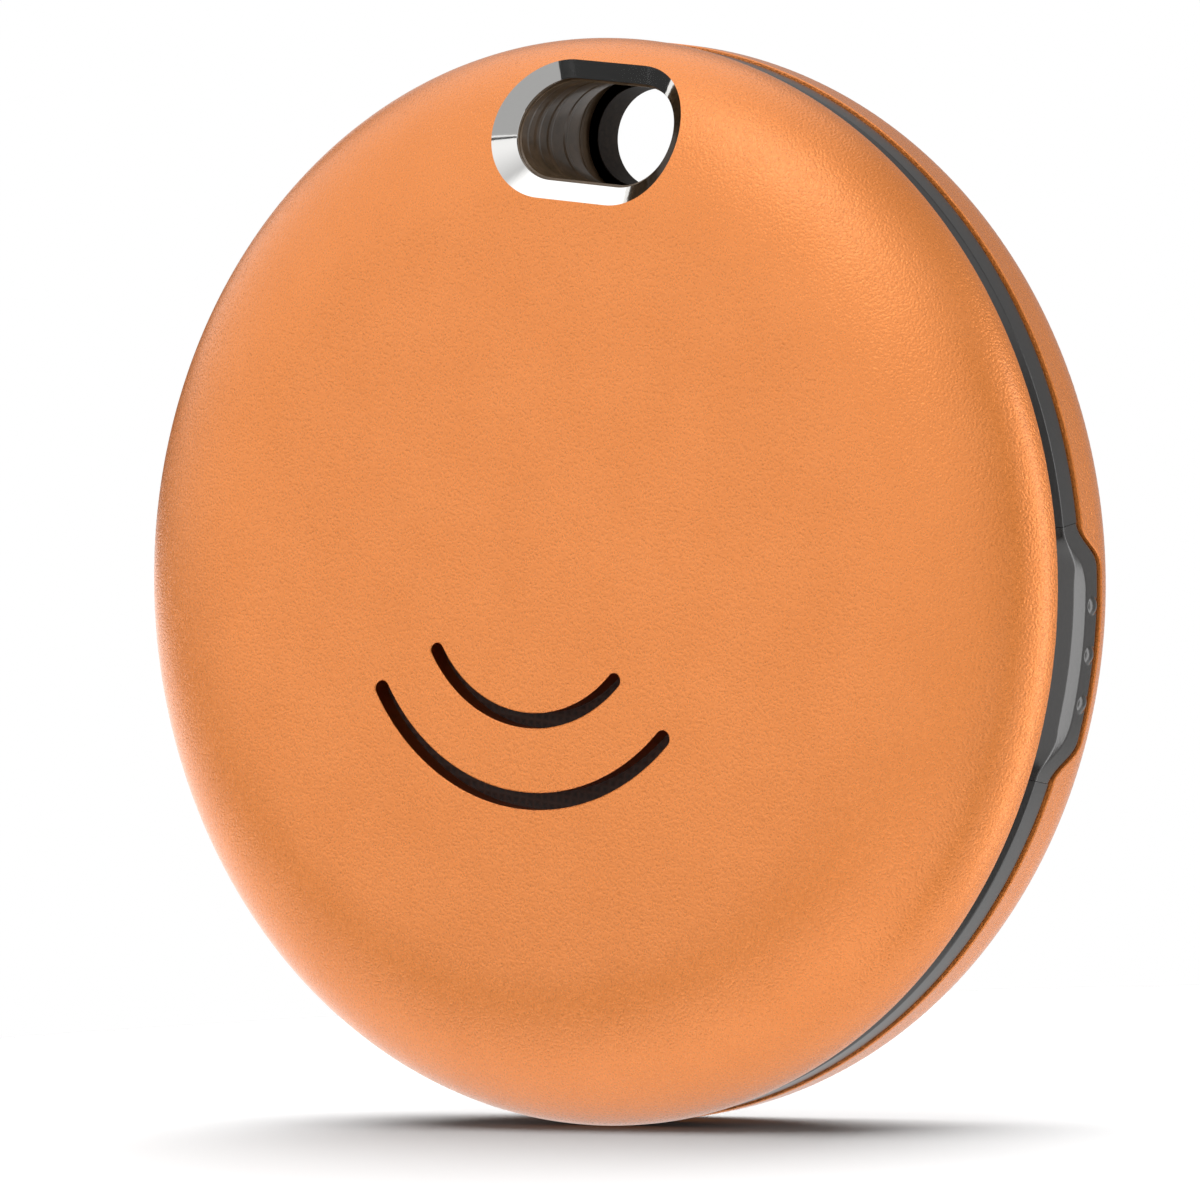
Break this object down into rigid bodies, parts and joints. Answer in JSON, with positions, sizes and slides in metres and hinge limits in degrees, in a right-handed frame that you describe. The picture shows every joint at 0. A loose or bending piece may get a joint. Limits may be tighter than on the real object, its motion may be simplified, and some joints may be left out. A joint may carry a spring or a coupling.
{
  "type": "bluetooth tracker tag",
  "caption": "Round anodised metal finder tag with a key hole, a dark rim band, a side button and arc-shaped sound slots, holding a coin cell, radio board and sounder.",
  "frame": {"origin": "centre of the disc", "axes": "+Y along the disc's axis towards the back shell, so the front face looks along -Y; +X towards the side button; +Z towards the key hole"},
  "size_m": [0.03, 0.0058, 0.03],
  "materials": {
    "anodised_shell": "orange anodised aluminium, fine bead-blasted satin, with a bright cut chamfer round the key hole",
    "soft_touch_band": "dark grey soft-touch elastomer, moulded, smooth satin",
    "black_plastic": "black moulded plastic, fine texture",
    "smoke_plastic": "smoke-brown tinted polycarbonate, polished mould",
    "acoustic_mesh": "dark woven acoustic mesh",
    "adhesive": "pressure-sensitive adhesive film",
    "silicone_seal": "grey silicone seal",
    "liner_plastic": "dark grey moulded plastic",
    "circuit_board": "green solder mask over glass-epoxy laminate",
    "steel_screw": "nickel-plated steel",
    "chip_package": "black moulded epoxy",
    "crystal_can": "plated metal lid",
    "antenna_ceramic": "white ceramic",
    "inductor_ferrite": "dark grey ferrite",
    "passive_ceramic": "tan ceramic with tinned ends",
    "switch_body": "black moulded nylon",
    "switch_plunger": "ivory moulded acetal",
    "contact_spring": "nickel-plated spring bronze",
    "cell_steel": "nickel-plated stainless steel, brushed",
    "cell_seal": "black nylon sealing ring",
    "cell_core": "pressed manganese dioxide and lithium",
    "sounder_brass": "rolled brass",
    "sounder_ceramic": "silvered piezo ceramic",
    "holder_plastic": "black moulded plastic",
    "foam_seal": "black closed-cell foam"
  },
  "bodies": {
    "root": {"front_shell": "anodised_shell", "side_band": "soft_touch_band", "key_sleeve": "smoke_plastic", "slot_mesh": "acoustic_mesh", "chassis": "black_plastic", "front_adhesive": "adhesive", "back_gasket": "silicone_seal", "circuit_board": "circuit_board", "board_screws": "steel_screw", "bluetooth_chip": "chip_package", "crystal": "crystal_can", "chip_antenna": "antenna_ceramic", "boost_inductor": "inductor_ferrite", "chip_passives": "passive_ceramic", "side_switch": "switch_body", "battery_positive_contact": "contact_spring", "battery_negative_contact": "contact_spring", "sounder_plate": "sounder_brass", "sounder_ceramic": "sounder_ceramic", "sounder_holder": "holder_plastic", "sounder_foam": "foam_seal", "sounder_contacts": "contact_spring"},
    "back_cover": {"back_shell": "anodised_shell", "back_liner": "liner_plastic", "back_adhesive": "adhesive"},
    "coin_cell": {"coin_cell_can": "cell_steel", "coin_cell_cap": "cell_steel", "coin_cell_seal": "cell_seal", "coin_cell_core": "cell_core"},
    "button": {"side_button": "soft_touch_band", "button_stem": "black_plastic", "switch_plunger": "switch_plunger"}
  },
  "joints": [
    {"name": "back_cover_lift", "type": "slide", "parent": "root", "child": "back_cover", "axis": [0, 1, 0], "range_m": [0, 0.01]},
    {"name": "coin_cell_lift", "type": "slide", "parent": "root", "child": "coin_cell", "axis": [0, 1, 0], "range_m": [0, 0.005]},
    {"name": "side_button_press", "type": "slide", "parent": "root", "child": "button", "axis": [-1, 0, 0], "range_m": [0, 0.00025], "stiffness_N_per_m": 300}
  ],
  "couplings": [
    {"joint": "coin_cell_lift", "follows": "back_cover_lift", "ratio": 0.5}
  ]
}
